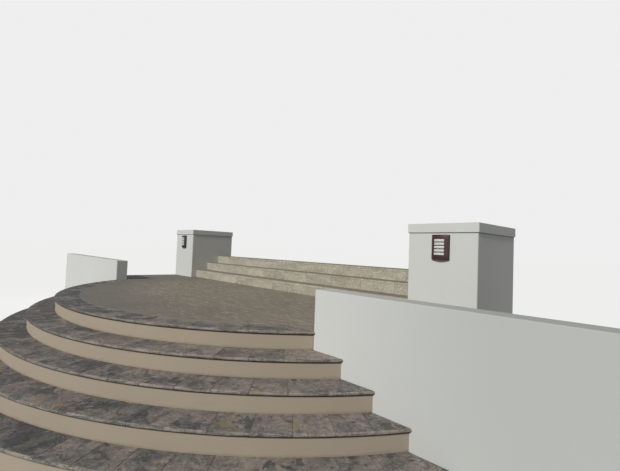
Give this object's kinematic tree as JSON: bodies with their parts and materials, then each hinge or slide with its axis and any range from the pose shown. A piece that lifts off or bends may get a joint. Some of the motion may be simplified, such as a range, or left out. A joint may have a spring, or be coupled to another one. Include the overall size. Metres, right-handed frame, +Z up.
{
  "type": "curved tiled garden steps with landing, flank walls and upper flight",
  "caption": "Concentric curved steps with bullnosed slate treads and rendered risers between two flank walls, rising to a paved landing and a straight upper flight between piers.",
  "frame": {"origin": "on the ground, on the centre line of the curved flight, in the plane of the flank walls' front faces", "axes": "+Z up, +Y back over the landing towards the upper flight, +X to the right seen from the garden"},
  "size_m": [14.42, 5.3389, 1.92],
  "materials": {
    "masonry_core": "rough",
    "cream_render": "matt",
    "slate_pavers": "honed",
    "landing_tiles": "honed",
    "limestone": "rough",
    "white_render": "matt",
    "bronze_paint": "satin",
    "white_diffuser": "matt"
  },
  "bodies": {
    "root": {"landing_base": "masonry_core", "landing_border": "slate_pavers", "landing_paving": "landing_tiles", "left_light_body": "bronze_paint", "left_light_lens": "white_diffuser", "left_pier": "white_render", "left_pier_cap": "white_render", "left_wall": "white_render", "right_light_body": "bronze_paint", "right_light_lens": "white_diffuser", "right_pier": "white_render", "right_pier_cap": "white_render", "right_wall": "white_render", "riser_1": "cream_render", "riser_2": "cream_render", "riser_3": "cream_render", "riser_4": "cream_render", "riser_5": "cream_render", "step_core_1": "masonry_core", "step_core_2": "masonry_core", "step_core_3": "masonry_core", "step_core_4": "masonry_core", "step_core_5": "masonry_core", "tread_1": "slate_pavers", "tread_2": "slate_pavers", "tread_3": "slate_pavers", "tread_4": "slate_pavers", "upper_base": "masonry_core", "upper_riser_1": "limestone", "upper_riser_2": "limestone", "upper_riser_3": "limestone", "upper_tread_1": "limestone", "upper_tread_2": "limestone", "upper_tread_3": "limestone"}
  },
  "joints": []
}
